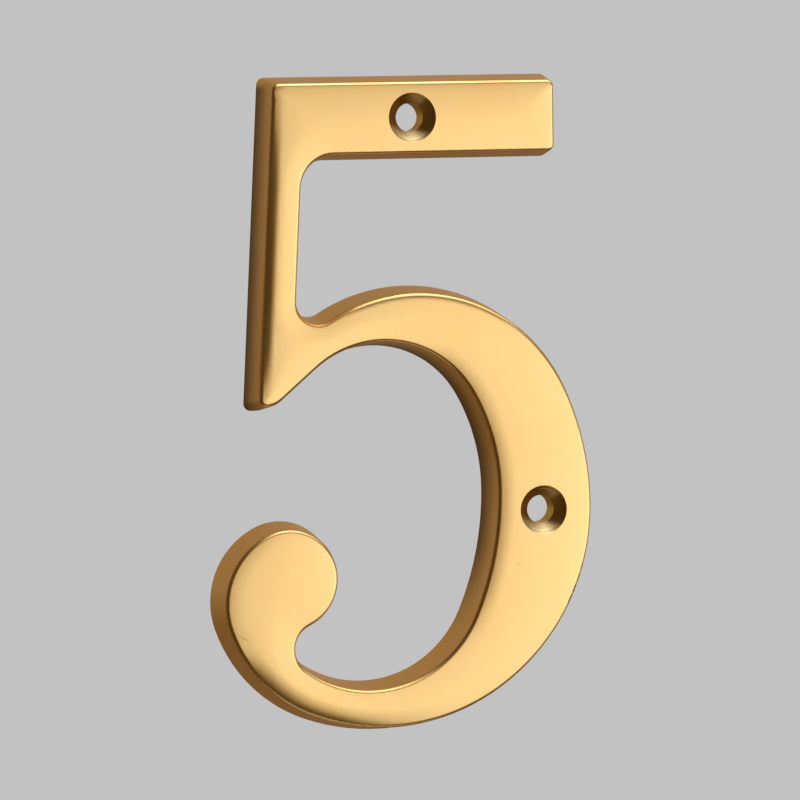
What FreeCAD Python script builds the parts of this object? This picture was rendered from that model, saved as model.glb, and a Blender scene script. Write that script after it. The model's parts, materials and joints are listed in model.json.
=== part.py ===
import FreeCAD, Part
import math
import os
import Sketcher

# A cast brass door figure 5 for two countersunk screws. Millimetres and degrees, +Z up, front towards -Y.
# The origin is on the door face, at the lowest point of the bowl.
NODE = "numeral"

# Each driving dimension: its name, its value and what it measures. Outline sizes are those of the back edge.
SIZES = (
    ("numeral_height", 101.6, "overall height, four inches"),
    ("depth", 6.3, "from the door face to the front face"),
    ("draft_angle", 8.0, "slope of the side walls, so that the casting leaves its mould"),
    ("edge_radius", 0.6, "rounding along the edge of the front face"),
    ("corner_radius", 1.2, "rounding of the upright corners of the bar and the foot"),
    ("bar_height", 12.85, "height of the top bar"),
    ("bar_reach", 28.95, "from the origin right to the end of the bar"),
    ("stem_reach", 18.2, "from the origin left to the top of the stem"),
    ("stem_width", 6.9, "width of the stem, square to its edges"),
    ("stem_lean", 3.35, "lean of the stem from upright"),
    ("inner_corner_radius", 4.4, "inside corner of the bar and the stem"),
    ("crotch_radius", 2.7, "inside corner of the stem and the bowl"),
    ("foot_flat", 1.85, "flat underside of the foot of the stem"),
    ("foot_radius", 5.0, "rounding from the foot to the hair"),
    ("hair_slope", 40.15, "slope of the hair, the straight underside between the foot and the eye"),
    ("bowl_radius", 34.35, "main round of the bowl"),
    ("bowl_height", 69.05, "height of the top of the bowl above the origin"),
    ("bowl_top_offset", 5.2, "from the origin right to the top of the bowl"),
    ("bowl_stroke", 16.95, "width of the bowl at its widest"),
    ("bowl_top_stroke", 9.15, "width of the bowl at its top"),
    ("bowl_bottom_stroke", 7.7, "width of the bowl at its bottom"),
    ("side_turn", 25.5, "turn of the flatter arc at the right of the bowl"),
    ("heel_turn", 20.7, "how far the main round runs on past the lowest point"),
    ("eye_floor_offset", 2.5, "from the origin left to the lowest point of the eye of the bowl"),
    ("eye_side_height", 36.9, "height of the rightmost point of the eye above the origin"),
    ("eye_top_offset", 0.4, "from the origin left to the top of the eye"),
    ("eye_lower_turn", 23.8, "turn of the flatter arc at the lower right of the eye"),
    ("eye_upper_turn", 29.6, "turn of the flatter arc at the upper right of the eye"),
    ("ball_radius", 8.7, "round end of the bowl"),
    ("ball_offset", 15.95, "from the origin left to the middle of the ball"),
    ("ball_height", 24.45, "height of the middle of the ball above the origin"),
    ("swell_radius", 12.6, "arc that runs from the heel into the ball"),
    ("swell_angle", 66.0, "direction of the swell's centre from the ball's, down from the right"),
    ("throat_radius", 3.05, "inside corner between the ball and the bowl"),
    ("recess_rim", 2.0, "width of the rim that stays flat on the door"),
    ("recess_depth", 1.5, "depth of the hollow in the back"),
    ("bore_diameter", 4.4, "clear hole for a screw shank"),
    ("countersink_diameter", 7.65, "mouth of the countersink"),
    ("countersink_angle", 90.0, "full angle of the countersink"),
    ("upper_hole_inset", 24.05, "from the end of the bar to the upper screw"),
    ("lower_hole_inset", 8.8, "from the right of the bowl to the lower screw"),
    ("lower_hole_height", 33.75, "height of the lower screw above the origin"),
)

# Pieces of the outline that end in a corner which is sharp in the sketch and rounded on the solid.
BEFORE_SHARP_CORNER = ("top", "end", "foot", "stem_left")
TOUCHING = 0.001

# How a sketch numbers the places on a piece, its own origin and its upright axis.
START, END, CENTRE = range(1, 4)
ORIGIN, Z_AXIS = range(-1, -3, -1)
UP = FreeCAD.Vector(0, 0, 1)


def make_sheet(doc):
    sheet = doc.addObject("Spreadsheet::Sheet", "sizes")
    for row, (name, value, meaning) in enumerate(SIZES, start=1):
        sheet.set(f"A{row}", str(value))
        sheet.setAlias(f"A{row}", name)
        sheet.set(f"B{row}", meaning)
    doc.recompute()
    return sheet


def point(x, z):
    """A point of the outline: x to the right, z up, in the plane of the door."""
    return FreeCAD.Vector(x, z, 0)


def towards(degrees):
    return point(math.cos(math.radians(degrees)), math.sin(math.radians(degrees)))


def round_quarter(run, rise, side_turn):
    """Radii of the two tangent arcs from level to upright; the upright one turns by side_turn."""
    c = math.cos(math.radians(side_turn))
    s = math.sin(math.radians(side_turn))
    level = (run * s - rise * (1 - c)) / (c + s - 1)
    upright = (rise * c - run * (1 - s)) / (c + s - 1)
    return level, upright


def touch(first, second):
    """Where two tangent circles meet. A circle is (centre, radius); a hollow round has a negative radius."""
    (a, ra), (b, rb) = first, second
    return a + (b - a) * (ra / (ra - rb))


def crossing(a, ra, b, rb):
    """The point at ra from a and rb from b that lies to the right of the way from a to b."""
    way = b - a
    along = (ra ** 2 - rb ** 2 + way.Length ** 2) / (2 * way.Length)
    across = math.sqrt(ra ** 2 - along ** 2)
    way.normalize()
    return a + way * along + point(way.y, -way.x) * across


def bowl_circles(size):
    """Centre and signed radius of each round of the bowl, clockwise from the crown to the roof of the eye."""
    main = (point(0, size.bowl_radius), size.bowl_radius)

    run = size.bowl_radius - size.bowl_top_offset
    rise = size.bowl_height - size.bowl_radius
    crown_radius, side_radius = round_quarter(run, rise, size.side_turn)
    crown = (point(size.bowl_top_offset, size.bowl_height - crown_radius), crown_radius)
    side = (point(size.bowl_radius - side_radius, size.bowl_radius), side_radius)

    ball = (point(-size.ball_offset, size.ball_height), size.ball_radius)
    swell = (ball[0] + towards(-size.swell_angle) * (size.swell_radius - size.ball_radius), size.swell_radius)

    outward = towards(-90 - size.heel_turn)
    heel_start = main[0] + outward * size.bowl_radius
    reach = heel_start - swell[0]
    heel_radius = (reach.dot(reach) - size.swell_radius ** 2) / (2 * (reach.dot(outward) - size.swell_radius))
    heel = (heel_start - outward * heel_radius, heel_radius)

    eye_right = size.bowl_radius - size.bowl_stroke
    eye_top = size.bowl_height - size.bowl_top_stroke
    floor_run = eye_right + size.eye_floor_offset
    floor_rise = size.eye_side_height - size.bowl_bottom_stroke
    floor_radius, rise_radius = round_quarter(floor_run, floor_rise, size.eye_lower_turn)
    floor = (point(-size.eye_floor_offset, size.bowl_bottom_stroke + floor_radius), -floor_radius)
    rise = (point(eye_right - rise_radius, size.eye_side_height), -rise_radius)
    roof_run = eye_right + size.eye_top_offset
    roof_radius, back_radius = round_quarter(roof_run, eye_top - size.eye_side_height, size.eye_upper_turn)
    back = (point(eye_right - back_radius, size.eye_side_height), -back_radius)
    roof = (point(-size.eye_top_offset, eye_top - roof_radius), -roof_radius)

    throat_centre = crossing(
        ball[0], size.ball_radius + size.throat_radius, floor[0], floor_radius - size.throat_radius)
    throat = (throat_centre, -size.throat_radius)
    return dict(crown=crown, side=side, main=main, heel=heel, swell=swell, ball=ball,
                throat=throat, floor=floor, rise=rise, back=back, roof=roof)


def outline_path(size):
    """The back edge, clockwise from the top left corner: (name, start, end, circle or None for a line)."""
    bowl = bowl_circles(size)
    up_stem = towards(90 - size.stem_lean)
    right_of_stem = towards(-size.stem_lean)
    top_left = point(-size.stem_reach, size.numeral_height)
    top_right = point(size.bar_reach, size.numeral_height)
    bar_bottom = size.numeral_height - size.bar_height

    def beside_stem(distance, height):
        """The point at a distance to the right of the stem's left edge, at a height."""
        foot = top_left + right_of_stem * distance
        return foot + up_stem * ((height - foot.y) / up_stem.y)

    inner_radius = size.inner_corner_radius
    inner = (beside_stem(size.stem_width + inner_radius, bar_bottom - inner_radius), -inner_radius)

    crown_centre, crown_radius = bowl["crown"]
    on_line = beside_stem(size.stem_width + size.crotch_radius, crown_centre.y)
    gap = on_line - crown_centre
    along = gap.dot(up_stem)
    reach = (crown_radius + size.crotch_radius) ** 2 - gap.dot(gap)
    crotch = (on_line + up_stem * (math.sqrt(along ** 2 + reach) - along), -size.crotch_radius)

    # The foot slides down the stem's left edge until its rounding touches the line of the hair.
    roof_centre, roof_radius = bowl["roof"]
    above_hair = towards(90 + size.hair_slope)
    hair_start = roof_centre - above_hair * roof_radius
    to_centre = point(size.foot_flat, size.foot_radius)
    too_high = (top_left + to_centre - hair_start).dot(above_hair) - size.foot_radius
    foot_corner = top_left - up_stem * (too_high / up_stem.dot(above_hair))
    foot = (foot_corner + to_centre, size.foot_radius)
    hair_end = foot[0] - above_hair * size.foot_radius

    stem_top = inner[0] - right_of_stem * inner_radius
    stem_bottom = crotch[0] - right_of_stem * size.crotch_radius

    path = [
        ("top", top_left, top_right, None),
        ("end", top_right, point(size.bar_reach, bar_bottom), None),
        ("under", point(size.bar_reach, bar_bottom), point(inner[0].x, bar_bottom), None),
        ("inner", point(inner[0].x, bar_bottom), stem_top, inner),
        ("stem_right", stem_top, stem_bottom, None),
        ("crotch", stem_bottom, touch(crotch, bowl["crown"]), crotch),
    ]
    names = list(bowl)
    joints = [touch(crotch, bowl["crown"])]
    joints += [touch(bowl[a], bowl[b]) for a, b in zip(names, names[1:])]
    joints += [hair_start]
    path += [(name, a, b, bowl[name]) for name, a, b in zip(names, joints, joints[1:])]
    path += [
        ("hair", hair_start, hair_end, None),
        ("foot_round", hair_end, foot_corner + point(size.foot_flat, 0), foot),
        ("foot", foot_corner + point(size.foot_flat, 0), foot_corner, None),
        ("stem_left", foot_corner, top_left, None),
    ]
    return path


def plane(body, role):
    return next(item for item in body.Origin.OriginFeatures if item.Role == role)


def add_sketch(body, name):
    """A sketch on the door plane: its x is the part's X, its y the part's Z, and it faces the front."""
    sketch = body.newObject("Sketcher::SketchObject", name)
    sketch.AttachmentSupport = [(plane(body, "XZ_Plane"), "")]
    sketch.MapMode = "FlatFace"
    return sketch


class Dimensions:
    """Adds constraints to a sketch, each size bound to the sheet."""

    def __init__(self, sketch):
        self.sketch = sketch

    def tie(self, kind, *where):
        self.sketch.addConstraint(Sketcher.Constraint(kind, *where))

    def size(self, expression, kind, *where):
        value = self.sketch.evalExpression(expression)
        if kind == "Angle":
            value = math.radians(value)
        number = self.sketch.addConstraint(Sketcher.Constraint(kind, *where, value))
        self.sketch.setExpression(f"Constraints[{number}]", expression)

    def right(self, expression, geometry, place):
        self.size(expression, "DistanceX", ORIGIN, START, geometry, place)

    def left(self, expression, geometry, place):
        self.size(expression, "DistanceX", geometry, place, ORIGIN, START)

    def height(self, expression, geometry, place):
        self.size(expression, "DistanceY", ORIGIN, START, geometry, place)


def draw_path(sketch, path):
    """Draws the path; returns each piece's number and the ends where the path enters and leaves it."""
    drawn = {}
    for name, start, end, circle in path:
        if circle is None:
            number = sketch.addGeometry(Part.LineSegment(start, end))
            drawn[name] = (number, START, END)
            continue
        centre, radius = circle
        convex = radius > 0
        first, last = (end, start) if convex else (start, end)
        ring = Part.Circle(centre, UP, abs(radius))
        number = sketch.addGeometry(Part.ArcOfCircle(ring, ring.parameter(first), ring.parameter(last)))
        drawn[name] = (number, END, START) if convex else (number, START, END)
    return drawn


def join_path(dims, drawn, path):
    """Joins each piece to the next, tangent unless the corner between them is sharp."""
    names = [piece[0] for piece in path]
    for name, following in zip(names, names[1:] + names[:1]):
        number, _, leave = drawn[name]
        next_number, enter, _ = drawn[following]
        kind = "Coincident" if name in BEFORE_SHARP_CORNER else "Tangent"
        dims.tie(kind, number, leave, next_number, enter)


def mark_extreme(sketch, dims, number, place):
    """A construction point where an arc is level, above or below its centre."""
    mark = sketch.addGeometry(Part.Point(place), True)
    dims.tie("PointOnObject", mark, START, number)
    dims.tie("Vertical", mark, START, number, CENTRE)
    return mark


def numbers(drawn):
    return {name: piece[0] for name, piece in drawn.items()}


def constrain_bar_and_stem(dims, drawn):
    number = numbers(drawn)
    for level in ("top", "under", "foot"):
        dims.tie("Horizontal", number[level])
    dims.tie("Vertical", number["end"])
    dims.tie("Parallel", number["stem_right"], number["stem_left"])
    dims.height("sizes.numeral_height", number["top"], START)
    dims.left("sizes.stem_reach", number["top"], START)
    dims.right("sizes.bar_reach", number["top"], END)
    dims.size("sizes.bar_height", "DistanceY", number["end"], END, number["end"], START)
    dims.size("90 - sizes.stem_lean", "Angle", number["stem_left"])
    dims.size("sizes.stem_width", "Distance", number["stem_right"], START, number["stem_left"])
    dims.size("sizes.inner_corner_radius", "Radius", number["inner"])
    dims.size("sizes.crotch_radius", "Radius", number["crotch"])
    dims.size("sizes.foot_flat", "DistanceX", number["foot"], END, number["foot"], START)
    dims.size("sizes.foot_radius", "Radius", number["foot_round"])
    dims.size("sizes.hair_slope - 180", "Angle", number["hair"])


def constrain_bowl(sketch, dims, drawn, bowl):
    number = numbers(drawn)
    main_enter = drawn["main"][1]
    dims.tie("PointOnObject", number["main"], CENTRE, Z_AXIS)
    dims.tie("PointOnObject", ORIGIN, START, number["main"])
    dims.tie("Horizontal", number["main"], CENTRE, number["main"], main_enter)
    dims.size("sizes.bowl_radius", "Radius", number["main"])
    dims.size("90 + sizes.heel_turn", "Angle", number["main"])
    dims.size("sizes.side_turn", "Angle", number["side"])

    crown_top = bowl["crown"][0] + point(0, bowl["crown"][1])
    top = mark_extreme(sketch, dims, number["crown"], crown_top)
    dims.right("sizes.bowl_top_offset", top, START)
    dims.height("sizes.bowl_height", top, START)

    dims.left("sizes.ball_offset", number["ball"], CENTRE)
    dims.height("sizes.ball_height", number["ball"], CENTRE)
    dims.size("sizes.ball_radius", "Radius", number["ball"])
    dims.size("sizes.swell_radius", "Radius", number["swell"])
    swell_run = "(sizes.swell_radius - sizes.ball_radius) * cos(sizes.swell_angle)"
    dims.size(swell_run, "DistanceX", number["ball"], CENTRE, number["swell"], CENTRE)
    dims.size("sizes.throat_radius", "Radius", number["throat"])


def constrain_eye(sketch, dims, drawn, bowl):
    number = numbers(drawn)
    floor_bottom = bowl["floor"][0] + point(0, bowl["floor"][1])
    bottom = mark_extreme(sketch, dims, number["floor"], floor_bottom)
    dims.left("sizes.eye_floor_offset", bottom, START)
    dims.height("sizes.bowl_bottom_stroke", bottom, START)

    back_enter = drawn["back"][1]
    dims.tie("Horizontal", number["back"], CENTRE, number["back"], back_enter)
    dims.height("sizes.eye_side_height", number["back"], back_enter)
    dims.right("sizes.bowl_radius - sizes.bowl_stroke", number["back"], back_enter)
    dims.size("sizes.eye_lower_turn", "Angle", number["rise"])
    dims.size("sizes.eye_upper_turn", "Angle", number["back"])

    roof_top = bowl["roof"][0] - point(0, bowl["roof"][1])
    top = mark_extreme(sketch, dims, number["roof"], roof_top)
    dims.left("sizes.eye_top_offset", top, START)
    dims.height("sizes.bowl_height - sizes.bowl_top_stroke", top, START)


def draw_outline(body, sheet):
    sketch = add_sketch(body, "back_edge")
    path = outline_path(sheet)
    bowl = bowl_circles(sheet)
    drawn = draw_path(sketch, path)
    dims = Dimensions(sketch)
    join_path(dims, drawn, path)
    constrain_bar_and_stem(dims, drawn)
    constrain_bowl(sketch, dims, drawn, bowl)
    constrain_eye(sketch, dims, drawn, bowl)
    return sketch


def bind(feature, **expressions):
    for name, expression in expressions.items():
        feature.setExpression(name, expression)


def cast_block(doc, body, outline):
    """The casting's block, narrower at the front by the draft of its walls."""
    block = body.newObject("PartDesign::Pad", "block")
    block.Profile = outline
    bind(block, Length="sizes.depth", TaperAngle="-sizes.draft_angle")
    doc.recompute()


def hollow_back(doc, body, outline):
    """The hollow in the back, inside a flat rim that follows the outline."""
    edge = body.newObject("PartDesign::SubShapeBinder", "recess_edge")
    edge.Support = [(outline, "")]
    bind(edge, Offset="-sizes.recess_rim")
    recess = body.newObject("PartDesign::Pocket", "recess")
    recess.Profile = edge
    bind(recess, Length="sizes.recess_depth")
    doc.recompute()
    return recess


def edge_names(shape, wanted):
    return [f"Edge{number}" for number, edge in enumerate(shape.Edges, start=1) if wanted(edge)]


def round_edges(doc, body, base, name, wanted, radius):
    fillet = body.newObject("PartDesign::Fillet", name)
    fillet.Base = (base, edge_names(base.Shape, wanted))
    bind(fillet, Radius=radius)
    doc.recompute()
    return fillet


def round_corners(doc, body, base, sheet):
    """The upright corners of the bar and the foot."""
    corners = [end for name, _, end, _ in outline_path(sheet) if name in BEFORE_SHARP_CORNER]

    def at_corner(edge):
        ends = [vertex.Point for vertex in edge.Vertexes]
        back = max(ends, key=lambda spot: spot.y)
        front = min(ends, key=lambda spot: spot.y)
        upright = abs(back.y - front.y - sheet.depth) < TOUCHING
        return upright and any((point(back.x, back.z) - corner).Length < TOUCHING for corner in corners)

    return round_edges(doc, body, base, "corners", at_corner, "sizes.corner_radius")


def round_front(doc, body, base, sheet):
    """The edge of the front face, all the way round."""

    def at_front(edge):
        box = edge.BoundBox
        return abs(box.YMin + sheet.depth) < TOUCHING and abs(box.YMax + sheet.depth) < TOUCHING

    return round_edges(doc, body, base, "front_edge", at_front, "sizes.edge_radius")


def drill_screw_holes(doc, body):
    """Two countersunk holes, one in the middle of the bar and one in the right of the bowl."""
    sketch = add_sketch(body, "screw_places")
    sketch.setExpression("AttachmentOffset.Base.z", "sizes.depth")
    dims = Dimensions(sketch)
    places = (
        ("sizes.bar_reach - sizes.upper_hole_inset", "sizes.numeral_height - sizes.bar_height / 2"),
        ("sizes.bowl_radius - sizes.lower_hole_inset", "sizes.lower_hole_height"),
    )
    for right, height in places:
        centre = point(sketch.evalExpression(right), sketch.evalExpression(height))
        bore = sketch.evalExpression("sizes.bore_diameter")
        ring = sketch.addGeometry(Part.Circle(centre, UP, bore / 2))
        dims.right(right, ring, CENTRE)
        dims.height(height, ring, CENTRE)
        dims.size("sizes.bore_diameter", "Diameter", ring)
    doc.recompute()
    hole = body.newObject("PartDesign::Hole", "screw_holes")
    hole.Profile = sketch
    doc.recompute()
    hole.DepthType = "ThroughAll"
    hole.HoleCutType = "Countersink"
    hole.HoleCutCustomValues = True
    bind(hole, Diameter="sizes.bore_diameter", HoleCutDiameter="sizes.countersink_diameter",
         HoleCutCountersinkAngle="sizes.countersink_angle")
    doc.recompute()


def build_numeral(doc, sheet):
    body = doc.addObject("PartDesign::Body", NODE)
    body.Label = NODE
    body.Placement = FreeCAD.Placement()
    outline = draw_outline(body, sheet)
    cast_block(doc, body, outline)
    recess = hollow_back(doc, body, outline)
    corners = round_corners(doc, body, recess, sheet)
    round_front(doc, body, corners, sheet)
    drill_screw_holes(doc, body)
    return body


def check(doc, bodies):
    for item in doc.Objects:
        failed = [state for state in item.State if state in ("Invalid", "Error")]
        if failed:
            raise RuntimeError(f"{item.Label} is {failed}")
    for body in bodies:
        if body.Shape.isNull() or not body.Shape.isValid() or len(body.Shape.Solids) != 1:
            raise RuntimeError(f"{body.Label} is not one sound solid")


def main():
    doc = FreeCAD.newDocument("door_number")
    sheet = make_sheet(doc)
    bodies = [build_numeral(doc, sheet)]
    doc.recompute()
    check(doc, bodies)
    os.makedirs("parts", exist_ok=True)
    for body in bodies:
        body.Shape.exportStep(f"parts/{body.Label}.step")


main()
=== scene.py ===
import json
import math

import bmesh
import bpy
import numpy as np
from mathutils import Matrix, Vector


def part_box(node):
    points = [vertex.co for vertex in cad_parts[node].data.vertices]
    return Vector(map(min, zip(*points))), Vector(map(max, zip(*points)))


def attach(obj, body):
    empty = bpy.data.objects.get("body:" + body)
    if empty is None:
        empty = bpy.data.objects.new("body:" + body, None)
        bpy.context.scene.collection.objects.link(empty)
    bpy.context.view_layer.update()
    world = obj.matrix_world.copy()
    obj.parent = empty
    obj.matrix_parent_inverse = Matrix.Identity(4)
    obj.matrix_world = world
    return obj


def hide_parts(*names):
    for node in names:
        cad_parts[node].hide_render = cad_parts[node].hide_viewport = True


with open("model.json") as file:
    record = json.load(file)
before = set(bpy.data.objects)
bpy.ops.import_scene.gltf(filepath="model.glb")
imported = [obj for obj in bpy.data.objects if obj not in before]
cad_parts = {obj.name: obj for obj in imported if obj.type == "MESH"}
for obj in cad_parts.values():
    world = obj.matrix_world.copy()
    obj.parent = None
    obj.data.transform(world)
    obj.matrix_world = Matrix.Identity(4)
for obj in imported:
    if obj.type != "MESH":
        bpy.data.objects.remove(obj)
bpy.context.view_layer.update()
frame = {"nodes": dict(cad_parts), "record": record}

MM = 0.001
LOW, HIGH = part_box("numeral")
FRONT = LOW.y
DEPTH = HIGH.y - LOW.y


def span(start, end):
    """A stretch in millimetres, from where something starts to where it is full."""
    return start * MM, end * MM


# The rounded front edge and the draft of the walls, as the solid has them. Over the rounding a level falls
# from 1 at the face to the sine of the draft at the wall, taken here with a small margin.
EDGE_RADIUS = 0.6 * MM
DRAFT = math.radians(8)
WALL_LEVEL = math.sin(DRAFT) - 0.03

# The screw holes, as the record places them, and a reach that takes in their countersinks.
MOUNTS = {mount["name"]: mount for mount in frame["record"]["mounts"]}
HOLES = [Vector(MOUNTS[name]["pos_m"]) for name in ("upper_screw_hole", "lower_screw_hole")]
HOLE_REACH = 4.2 * MM

# The middles of the bowl and of the ball, and the crotch between stem and bowl.
BOWL_MIDDLE = Vector((0, 0, 34.35)) * MM
BALL_MIDDLE = Vector((-15.95, 0, 24.45)) * MM
CROTCH = Vector((-9.8, 0, 64.2)) * MM

# The polished front face is domed a little and eased along its edge: how far it falls there and how far in.
DOME_FALL = 0.19 * MM
DOME_REACH = 4.0 * MM
EASE_FALL = 0.007 * MM
EASE_REACH = 0.3 * MM

# The mop has worn it down further: on the stem, on the bowl and in a narrow line along the top of the bowl.
# On the bowl the heel is worn most; the eye and the ball have a share of that. The stem's head is spared.
WEAR_FALL = np.array((0.25, 0.28, 0.035)) * MM
WEAR_REACH = np.array((1.4, 2.3, 0.5)) * MM
EYE_WEAR = 0.36
BALL_WEAR = 0.15
HEAD_SPARED = 0.7

# Where the edge is worn: across the figure, up or down it, and out from the bowl's middle or in towards it.
STEM_ACROSS = span(-15.1, -17.6)
STEM_UP = span(50, 62)
STEM_HEAD = span(84, 99)
TOP_ACROSS = span(-8, -2)
TOP_UP = span(61, 65)
TOP_DOWN = span(75, 72)
HEEL_ACROSS = span(12, -10)
HEEL_DOWN = span(16, 8)
HEEL_OUT = span(28, 30)
EYE_ACROSS = span(4, 12)
EYE_UP = span(10, 24)
EYE_IN = span(30, 28)
BALL_ACROSS = span(-17, -22)
BALL_DOWN = span(34, 29)

# The marks that the finishes read: how well the brass is polished, and the lower lip of a countersink,
# which gets a painted highlight.
# A place is polished by how far it faces the front. The rounded edge in the crotch, under the bar, gets the
# darker side finish as painted shade.
POLISH_AND_SHADE = "polish_and_shade"
POLISHED_FACING = (0.5, 0.85)
EDGE_FACING = (0.995, 0.97)
CROTCH_IN = span(6, 4)
LIP = "lip"
LIP_DOWN = span(1.2, 2.3)
LIP_LEAN = 0.2

# How the mesh is worked: the squares of the front face, the samples of its edge, how many places at a time,
# how close counts as on the face or as on its edge, the step for a slope, and the angle that stays sharp.
CELL = 0.4 * MM
EDGE_SAMPLE = 0.1 * MM
PLACES_AT_A_TIME = 500
ON_FACE = 0.002 * MM
ON_EDGE = 0.06 * MM
SLOPE_STEP = 0.02 * MM
SHARP = math.radians(30)

# The camera, from the photograph: the figure is seen from the left and a little from above.
VIEW_FROM_LEFT = math.radians(17.97)
VIEW_FROM_ABOVE = math.radians(3.49)
TURN_OF_FIGURE = math.radians(0.85)
CAMERA_AIM = Vector((4.25, 0, 51.25)) * MM
CAMERA_DISTANCE = 795.3 * MM
CAMERA_FIELD = math.radians(8.949)

# The studio: how bright its sides are, and the warm tint of the dim room.
BACKDROP_LEVEL = 0.539
ROOM_LEVEL = 0.08
ROOM_TINT = (1.0, 0.72, 0.34, 1)
KEY_AZIMUTH = math.radians(45)
KEY_LEVEL = 1.01
KEY_HEART_LEVEL = 0.3
OVERHEAD_LEVEL = 1.3


class Socket:
    """An output of a shader node that can be used in sums."""

    def __init__(self, nodes, out):
        self.nodes = nodes
        self.out = out

    def math(self, operation, *values):
        return self.nodes.add("ShaderNodeMath", {"operation": operation}, dict(enumerate(values)))

    def __add__(self, other):
        return self.math("ADD", self, other)

    def __radd__(self, other):
        return self.math("ADD", other, self)

    def __sub__(self, other):
        return self.math("SUBTRACT", self, other)

    def __rsub__(self, other):
        return self.math("SUBTRACT", other, self)

    def __mul__(self, other):
        return self.math("MULTIPLY", self, other)

    def __rmul__(self, other):
        return self.math("MULTIPLY", other, self)

    def larger(self, other):
        return self.math("MAXIMUM", self, other)

    def step(self, start, end):
        """0 at start, 1 at end, and a soft ramp between; start may lie above end."""
        rise = self.nodes.add(
            "ShaderNodeMapRange", {"interpolation_type": "SMOOTHSTEP"},
            {"Value": self, "From Min": min(start, end), "From Max": max(start, end)})
        return rise if start < end else 1 - rise


class Nodes:
    """The node tree of a material or the world."""

    def __init__(self, owner):
        owner.use_nodes = True
        self.tree = owner.node_tree
        self.tree.nodes.clear()

    def add(self, kind, settings=None, inputs=None, output=0):
        """A node of a kind, with its settings and the values or links of its sockets."""
        node = self.tree.nodes.new(kind)
        for name, value in (settings or {}).items():
            setattr(node, name, value)
        for name, value in (inputs or {}).items():
            if isinstance(value, Socket):
                self.tree.links.new(value.out, node.inputs[name])
            else:
                node.inputs[name].default_value = value
        return Socket(self, node.outputs[output]) if node.outputs else None

    def mix(self, factor, first, second):
        """A colour between two."""
        return self.add("ShaderNodeMix", {"data_type": "RGBA"}, {0: factor, 6: first, 7: second}, output=2)

    def split(self, vector):
        """The x, y and z of a vector."""
        return [self.add("ShaderNodeSeparateXYZ", None, {0: vector}, output=axis) for axis in "XYZ"]

    def place(self):
        """A point of the piece, in metres."""
        return self.add("ShaderNodeTexCoord", output="Object")

    def distance(self, place, middle):
        """How far a point lies from a middle."""
        ends = {0: place, 1: middle}
        return self.add("ShaderNodeVectorMath", {"operation": "DISTANCE"}, ends, output="Value")

    def attribute(self, name):
        """A mark that the piece carries."""
        return self.add("ShaderNodeAttribute", {"attribute_name": name}, output="Fac")

    def noise(self, place, scale, detail=2.0, stretch=(1, 1, 1)):
        """A cloudy pattern with so many waves a metre, drawn out along an axis where stretch is small."""
        drawn = self.add("ShaderNodeMapping", None, {"Vector": place, "Scale": stretch})
        return self.add("ShaderNodeTexNoise", None, {"Vector": drawn, "Scale": scale, "Detail": detail})

    def mark(self, place, middle, turn, size):
        """A small mark on the front, in millimetres and degrees: 1 in its middle, 0 outside it."""
        moved = self.add(
            "ShaderNodeMapping", {"vector_type": "TEXTURE"},
            {"Vector": place, "Location": Vector(middle) * MM, "Rotation": (0, math.radians(turn), 0),
             "Scale": Vector(size) * MM})
        reach = self.add("ShaderNodeVectorMath", {"operation": "LENGTH"}, {0: moved}, output="Value")
        return reach.step(1.0, 0.2)

    def metal(self, colour, roughness, relief, depth, sheen=(1, 1, 1, 1)):
        """A bare metal surface: a relief of 1 stands depth metres high, and sheen tints grazing light."""
        normal = self.add("ShaderNodeBump", None, {"Strength": 1.0, "Distance": depth, "Height": relief})
        shader = self.add(
            "ShaderNodeBsdfPrincipled", None,
            {"Base Color": colour, "Metallic": 1.0, "Roughness": roughness, "Specular Tint": sheen,
             "Normal": normal})
        self.add("ShaderNodeOutputMaterial", None, {"Surface": shader})


def material_nodes(name):
    """A new material and its empty node tree."""
    material = bpy.data.materials.new(name)
    return material, Nodes(material)


def polished_brass():
    """Yellow brass: buffed on the front, plainer on the sides, whose walls darken towards the door with
    painted shade.
    """
    material, nodes = material_nodes("polished_brass")
    place = nodes.place()
    x, y, z = nodes.split(place)
    polish_and_shade = nodes.attribute(POLISH_AND_SHADE)
    buffed = nodes.noise(place, 900.0, 2.0, (1.0, 1.0, 0.06))
    linished = nodes.noise(place, 1500.0, 2.0, (0.05, 1.0, 0.05))
    front_cloud = nodes.noise(place, 70.0, 3.0).step(0.3, 0.7)
    side_cloud = nodes.noise(place, 110.0, 3.0)

    # Painted shade darkens the stem's left wall and the wall round the eye of the bowl towards the back,
    # away from the ball.
    below_top = z.step(HIGH.z - 0.5 * MM, HIGH.z - 2 * MM)
    stem = x.step(*span(-12, -15)) * z.step(*span(46, 50)) * below_top
    inside_bowl = nodes.distance(place, BOWL_MIDDLE).step(*span(30, 27))
    off_ball = nodes.distance(place, BALL_MIDDLE).step(*span(12, 22))
    eye = inside_bowl * z.step(*span(12, 30)) * off_ball
    painted_back_shade = y.step(-DEPTH, 0.1 * DEPTH) * stem.larger(eye)

    scratch = nodes.mark(place, (-23.35, -6.25, 15.84), 31, (1.5, 1.0, 0.14))
    pit = nodes.mark(place, (21.25, -6.25, 25.36), 0, (0.2, 1.0, 0.26))
    clean_front = nodes.mix(front_cloud, (0.915, 0.592, 0.228, 1), (0.965, 0.645, 0.266, 1))
    front = nodes.mix(0.5 * (scratch + pit), clean_front, (0.42, 0.22, 0.05, 1))
    clean_side = nodes.mix(side_cloud, (0.57, 0.285, 0.07, 1), (0.65, 0.335, 0.09, 1))
    # Painted shade: these walls turn near black towards the door.
    side = nodes.mix(painted_back_shade, clean_side, (0.12, 0.06, 0.02, 1))
    front_roughness = 0.2 + 0.05 * front_cloud + 0.02 * buffed
    side_roughness = 0.34 + 0.06 * side_cloud + 0.06 * linished
    nodes.metal(
        nodes.mix(polish_and_shade, side, front),
        polish_and_shade * front_roughness + (1 - polish_and_shade) * side_roughness,
        3 * polish_and_shade * buffed + (1 - polish_and_shade) * linished, 0.001 * MM, (0.95, 0.83, 0.68, 1))
    return material


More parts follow.
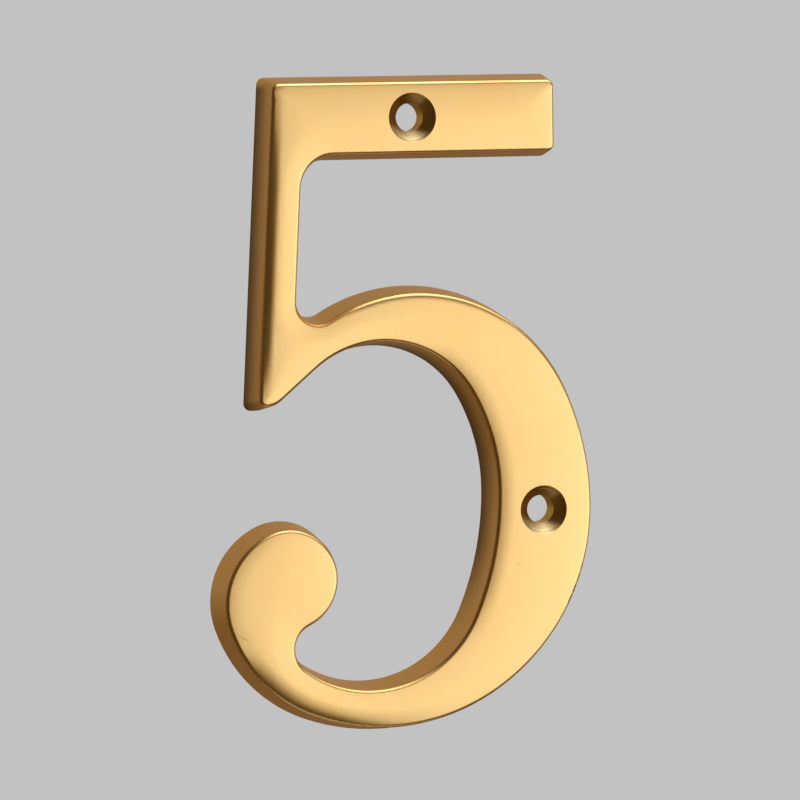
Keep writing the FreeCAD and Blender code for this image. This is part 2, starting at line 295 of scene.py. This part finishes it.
def turned_countersink():
    """Cut brass in the screw holes, with the rings that the cutter leaves and a painted highlight on the
    lower lip.
    """
    material, nodes = material_nodes("turned_countersink")
    place = nodes.place()
    cloud = nodes.noise(place, 300.0, 2.0)
    rings = nodes.noise(place, 3500.0, 1.0, (0.0, 1.0, 0.0))
    lip = nodes.attribute(LIP)
    cut = nodes.mix(rings, (0.4, 0.23, 0.06, 1), (0.74, 0.47, 0.16, 1))
    # Painted highlight: the lower lip is coloured cream, as if it mirrored the light above.
    painted_highlight = nodes.mix(rings, (0.78, 0.52, 0.2, 1), (0.99, 0.86, 0.5, 1))
    roughness = 0.24 + 0.08 * cloud + 0.15 * lip
    nodes.metal(nodes.mix(lip, cut, painted_highlight), roughness, rings, 0.05 * MM, (0.6, 0.45, 0.3, 1))
    return material


def cast_back():
    """Brass as it came from the sand, on the hollow back."""
    material, nodes = material_nodes("cast_back")
    place = nodes.place()
    cloud = nodes.noise(place, 160.0, 3.0)
    grain = nodes.noise(place, 2200.0, 3.0)
    colour = nodes.mix(cloud, (0.50, 0.33, 0.14, 1), (0.62, 0.42, 0.19, 1))
    roughness = 0.46 + 0.1 * grain
    nodes.metal(colour, roughness, grain, 0.03 * MM)
    return material


def near_hole(x, z):
    """Whether a place lies at a screw hole or its countersink."""
    return any(math.hypot(x - hole.x, z - hole.z) < HOLE_REACH for hole in HOLES)


def select_front(piece):
    """Selects the flat front face."""
    edit = bmesh.from_edit_mesh(piece.data)
    # A face that is deselected takes its edges along, so all are deselected before any is selected.
    for face in edit.faces:
        face.select_set(False)
    for face in edit.faces:
        flat = face.normal.y < -0.9999
        if flat and abs(face.calc_center_median().y - FRONT) < ON_FACE:
            face.select_set(True)
    bmesh.update_edit_mesh(piece.data)


def front_edge_samples(piece):
    """Points along the outer edge of the front face: x, z, the length each stands for and the way out."""
    select_front(piece)
    bpy.ops.mesh.region_to_loop()
    edit = bmesh.from_edit_mesh(piece.data)
    samples = []
    for edge in edit.edges:
        start, end = (vertex.co for vertex in edge.verts)
        middle = (start + end) / 2
        if not edge.select or near_hole(middle.x, middle.z):
            continue
        length = (end - start).length
        inner = min((face.calc_center_median() for face in edge.link_faces), key=lambda centre: centre.y)
        out = Vector((end.z - start.z, 0, start.x - end.x)) / length
        if out.dot(inner - middle) > 0:
            out.negate()
        count = max(1, round(length / EDGE_SAMPLE))
        for number in range(count):
            spot = start.lerp(end, (number + 0.5) / count)
            samples.append((spot.x, spot.z, length / count, out.x, out.z))
    return np.array(samples)


def slice_front(piece):
    """Cuts the flat front face into small squares."""
    select_front(piece)
    bpy.ops.mesh.dissolve_limited(angle_limit=math.radians(0.5))
    select_front(piece)
    bpy.ops.mesh.hide(unselected=True)
    for across, low, high in ((Vector((1, 0, 0)), LOW.x, HIGH.x), (Vector((0, 0, 1)), LOW.z, HIGH.z)):
        for number in range(1, int((high - low) / CELL) + 1):
            bpy.ops.mesh.select_all(action="SELECT")
            bpy.ops.mesh.bisect(plane_co=across * (low + number * CELL), plane_no=across, threshold=1e-7)
    bpy.ops.mesh.reveal(select=False)


def ramp(values, start, end):
    """0 at start, 1 at end, and a soft slope between; start may lie above end."""
    share = np.clip((values - start) / (end - start), 0, 1)
    return share * share * (3 - 2 * share)


def wear_of_edge(samples):
    """How much the edge is worn at each sample, from 0 to 1: on the stem, the bowl and the bowl's top."""
    x, z = samples[:, 0], samples[:, 1]
    from_middle = np.hypot(x - BOWL_MIDDLE.x, z - BOWL_MIDDLE.z)
    stem = ramp(x, *STEM_ACROSS) * ramp(z, *STEM_UP) * (1 - HEAD_SPARED * ramp(z, *STEM_HEAD))
    heel = ramp(x, *HEEL_ACROSS) * ramp(z, *HEEL_DOWN) * ramp(from_middle, *HEEL_OUT)
    eye = ramp(x, *EYE_ACROSS) * ramp(z, *EYE_UP) * ramp(from_middle, *EYE_IN)
    ball = ramp(x, *BALL_ACROSS) * ramp(z, *BALL_DOWN)
    bowl = np.max([heel, EYE_WEAR * eye, BALL_WEAR * ball], axis=0)
    top = ramp(x, *TOP_ACROSS) * ramp(z, *TOP_UP) * ramp(z, *TOP_DOWN)
    return np.column_stack([stem, bowl, top])


def edge_field(places, samples):
    """For each place: a smooth distance from the front face's edge, the wear there and the way out.

    Each sample of the edge pulls by the inverse fifth power of its distance. A straight edge at distance d
    then pulls by 4 / (3 * d ** 4) in all, which gives the distance back.
    """
    wear = wear_of_edge(samples)
    inset = np.empty(len(places))
    worn = np.empty((len(places), wear.shape[1]))
    out = np.empty((len(places), 2))
    softness = EDGE_SAMPLE ** 2
    for start in range(0, len(places), PLACES_AT_A_TIME):
        block = slice(start, start + PLACES_AT_A_TIME)
        squares = ((places[block, None, :] - samples[None, :, :2]) ** 2).sum(axis=2) + softness
        pull = samples[None, :, 2] / (squares * squares * np.sqrt(squares))
        total = pull.sum(axis=1)
        inset[block] = np.sqrt(np.maximum(np.sqrt(4 / (3 * total)) - softness, 0))
        worn[block] = pull @ wear / total[:, None]
        out[block] = pull @ samples[:, 3:] / total[:, None]
    return inset, worn, out


def fall_of_face(inset, worn):
    """How far the polished face lies behind the flat one."""
    dome = DOME_FALL * np.exp(-inset / DOME_REACH)
    ease = EASE_FALL * np.exp(-inset / EASE_REACH)
    wear = WEAR_FALL * worn * np.maximum(1 - inset[:, None] / WEAR_REACH, 0) ** 2
    return dome + ease + wear.sum(axis=1)


def face_normals(flat, fall, samples):
    """The way that the polished face looks at each place, from its fall there and a short step away."""
    right, up = (
        (fall_of_face(*edge_field(flat + move, samples)[:2]) - fall) / SLOPE_STEP
        for move in ((SLOPE_STEP, 0), (0, SLOPE_STEP)))
    return np.column_stack([right, -np.ones(len(flat)), up])


def edge_normals(level, slope, out):
    """The way that the rounded edge looks: level runs from 1 at the face to 0 below the rounding."""
    tilt = np.sqrt(1 - level ** 2) + level * slope
    out = out / np.linalg.norm(out, axis=1)[:, None]
    return np.column_stack([out[:, 0] * tilt, -level, out[:, 1] * tilt])


def vertex_rows(piece, name):
    """The places or normals of a piece's vertices, in rows of x, y and z."""
    values = np.empty(len(piece.data.vertices) * 3)
    piece.data.vertices.foreach_get(name, values)
    return values.reshape(-1, 3)


def crown_front(piece, samples):
    """Lets the front face fall away towards its edge, and the rounded edge with it, as polishing does.

    Returns the exact normals of both, with zeros for the vertices elsewhere.
    """
    places = vertex_rows(piece, "co")
    flat = places[:, [0, 2]]
    on_face = places[:, 1] < FRONT + ON_FACE
    at_hole = np.array([near_hole(x, z) for x, z in flat])
    inset, worn, out = edge_field(flat, samples)

    # Past the edge of the face the fall goes on by the slope that it has there. It fades towards the door.
    edge_slope = DOME_FALL / DOME_REACH + EASE_FALL / EASE_REACH + 2 * worn @ (WEAR_FALL / WEAR_REACH)
    past_edge = fall_of_face(np.zeros(len(flat)), worn) + edge_slope * inset
    fall = np.where(on_face | at_hole, fall_of_face(inset, worn), past_edge)
    level = np.clip(1 - (places[:, 1] - FRONT) / EDGE_RADIUS, 0, 1)
    places[:, 1] += fall * np.where(places[:, 1] < -DEPTH / 2, -places[:, 1] / DEPTH, 0)
    piece.data.vertices.foreach_set("co", places.ravel())

    inner = on_face & (inset > ON_EDGE)
    face = inner & ~at_hole
    edge = ~inner & ~at_hole & (level > WALL_LEVEL)
    normals = np.zeros_like(places)
    normals[face] = face_normals(flat[face], fall[face], samples)
    normals[edge] = edge_normals(level[edge], edge_slope[edge], out[edge])
    lengths = np.linalg.norm(normals, axis=1)[:, None]
    return np.divide(normals, lengths, out=normals, where=lengths > 0)


def smooth_surface(piece, normals):
    """Shades the walls by angle and the front by its exact normals; a zero leaves a corner as it is."""
    bpy.ops.object.shade_smooth_by_angle(angle=SHARP)
    corners = np.empty(len(piece.data.loops), dtype=int)
    piece.data.loops.foreach_get("vertex_index", corners)
    piece.data.normals_split_custom_set(normals[corners])


def mark_polish_and_shade(piece, normals):
    """Marks how well each place is polished, fully on the front and not on the walls, and darkens the
    rounded edge in the crotch with painted shade.
    """
    places = vertex_rows(piece, "co")
    plain = vertex_rows(piece, "normal")
    facing = -np.where(normals.any(axis=1), normals[:, 1], plain[:, 1])
    from_crotch = np.hypot(places[:, 0] - CROTCH.x, places[:, 2] - CROTCH.z)
    # Painted shade: the rounded edge in the crotch, under the bar, is given the darker side finish.
    crotch_shade = ramp(from_crotch, *CROTCH_IN) * ramp(facing, *EDGE_FACING)
    marks = piece.data.attributes.new(POLISH_AND_SHADE, "FLOAT", "POINT")
    marks.data.foreach_set("value", ramp(facing, *POLISHED_FACING) * (1 - crotch_shade))


def mark_lip(piece):
    """Marks the lower lip of each screw hole, a little to the left, where the countersink gets a painted
    highlight.
    """
    marks = piece.data.attributes.new(LIP, "FLOAT", "POINT")
    for vertex, mark in zip(piece.data.vertices, marks.data):
        for hole in HOLES:
            away = vertex.co - hole
            if math.hypot(away.x, away.z) < HOLE_REACH:
                mark.value = ramp(-LIP_LEAN * away.x - away.z, *LIP_DOWN)


def finish_faces(piece):
    """Gives each face of the figure the finish of its place."""
    piece.data.materials.clear()
    for finish in (polished_brass(), turned_countersink(), cast_back()):
        piece.data.materials.append(finish)
    # What looks sideways at a hole is cut. The back and the walls of its hollow are as cast.
    cut, cast = 1, 2
    for face in piece.data.polygons:
        if near_hole(face.center.x, face.center.z) and -0.95 < face.normal.y < 0.5:
            face.material_index = cut
        elif face.normal.y > -0.05:
            face.material_index = cast


def polished_numeral():
    """The figure, with a softly crowned front face."""
    node = frame["nodes"]["numeral"]
    piece = bpy.data.objects.new("polished_numeral", node.data.copy())
    bpy.context.scene.collection.objects.link(piece)
    bpy.ops.object.select_all(action="DESELECT")
    piece.select_set(True)
    bpy.context.view_layer.objects.active = piece
    bpy.ops.object.mode_set(mode="EDIT")
    bpy.ops.mesh.select_all(action="SELECT")
    bpy.ops.mesh.customdata_custom_splitnormals_clear()
    bpy.ops.mesh.remove_doubles(threshold=0.001 * MM)
    samples = front_edge_samples(piece)
    slice_front(piece)
    bpy.ops.object.mode_set(mode="OBJECT")
    normals = crown_front(piece, samples)
    smooth_surface(piece, normals)
    mark_polish_and_shade(piece, normals)
    mark_lip(piece)
    finish_faces(piece)
    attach(piece, "root")
    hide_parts("numeral")


def around(azimuth, elevation, distance):
    """A place around the figure: azimuth 0 is in front of it, 90 to its right."""
    a, e = math.radians(azimuth), math.radians(elevation)
    way = Vector((math.sin(a) * math.cos(e), -math.cos(a) * math.cos(e), math.sin(e)))
    return way * distance + CAMERA_AIM


def softbox(name, place, size, radiance):
    """A soft lamp that faces the figure: where it stands, its width and height and how bright it looks."""
    lamp = bpy.data.lights.new(name, "AREA")
    lamp.shape = "RECTANGLE"
    lamp.size, lamp.size_y = size
    lamp.energy = math.pi * size[0] * size[1] * radiance
    light = bpy.data.objects.new(name, lamp)
    light.location = place
    light.rotation_euler = (CAMERA_AIM - place).to_track_quat("-Z", "Y").to_euler()
    light.visible_camera = False
    bpy.context.scene.collection.objects.link(light)


def studio():
    """Soft light from the front right and from above, a dim room at the left and a grey backdrop behind."""
    world = bpy.data.worlds.new("studio")
    bpy.context.scene.world = world
    nodes = Nodes(world)
    x, y, z = nodes.split(nodes.add("ShaderNodeTexCoord", output="Generated"))

    # The key fades to its sides, downwards and, slowly and then fast, upwards. Its heart is brighter.
    towards_key = math.sin(KEY_AZIMUTH) * x - math.cos(KEY_AZIMUTH) * y
    key = towards_key.step(0.5, 0.98) * z.step(-0.62, -0.4) * z.step(0.6, -0.14) * z.step(0.34, 0.14)
    key_level = KEY_LEVEL + KEY_HEART_LEVEL * towards_key.step(0.9, 0.985)
    overhead = z.step(0.28, 0.75) * x.step(-0.35, 0.1)
    room = ROOM_LEVEL + key_level * key + OVERHEAD_LEVEL * overhead

    # The camera sees the backdrop all round, and the brass mirrors it from behind the figure.
    camera_ray, glossy_ray = (
        nodes.add("ShaderNodeLightPath", output=name) for name in ("Is Camera Ray", "Is Glossy Ray"))
    behind = y.step(-0.2, 0.55) * (0.5 + 0.5 * z.step(-0.3, 0.05))
    backdrop = camera_ray + glossy_ray * behind
    level = backdrop * BACKDROP_LEVEL + (1 - backdrop) * room
    white = (1, 1, 1, 1)
    colour = nodes.mix(backdrop, nodes.mix(room.step(ROOM_LEVEL, 0.8), ROOM_TINT, white), white)
    shader = nodes.add("ShaderNodeBackground", None, {"Color": colour, "Strength": level})
    nodes.add("ShaderNodeOutputWorld", None, {"Surface": shader})

    softbox("front_softbox", around(40, -4, 0.75), (0.8, 0.3), 0.25)
    softbox("top_softbox", around(50, 66, 0.7), (0.5, 0.35), 1.2)


def camera():
    """The camera of the photograph."""
    lens = bpy.data.cameras.new("camera")
    lens.angle = CAMERA_FIELD
    lens.clip_start, lens.clip_end = 0.01, 20
    eye = bpy.data.objects.new("camera", lens)
    bpy.context.scene.collection.objects.link(eye)
    a, e = VIEW_FROM_LEFT, VIEW_FROM_ABOVE
    right = Vector((math.cos(a), -math.sin(a), 0))
    up = Vector((math.sin(a) * math.sin(e), math.cos(a) * math.sin(e), math.cos(e)))
    turn = Matrix.Rotation(TURN_OF_FIGURE, 3, "Y")
    axes = turn @ Matrix((right, up, right.cross(up))).transposed()
    place = CAMERA_AIM + axes.col[2] * CAMERA_DISTANCE
    eye.matrix_world = Matrix.Translation(place) @ axes.to_4x4()
    bpy.context.scene.camera = eye


def floor():
    """A pale round floor, well below the figure."""
    bpy.ops.object.select_all(action="DESELECT")
    bpy.ops.mesh.primitive_circle_add(vertices=96, radius=0.3, fill_type="NGON", location=(0, 0, -0.5))
    ground = bpy.context.object
    ground.name = "floor"
    bpy.ops.object.transform_apply(location=True, rotation=False, scale=False)
    material, nodes = material_nodes("pale_floor")
    shader = nodes.add("ShaderNodeBsdfDiffuse", None, {"Color": (0.6, 0.6, 0.6, 1)})
    nodes.add("ShaderNodeOutputMaterial", None, {"Surface": shader})
    ground.data.materials.append(material)


polished_numeral()
studio()
camera()
floor()
bpy.context.scene.view_settings.view_transform = "Standard"
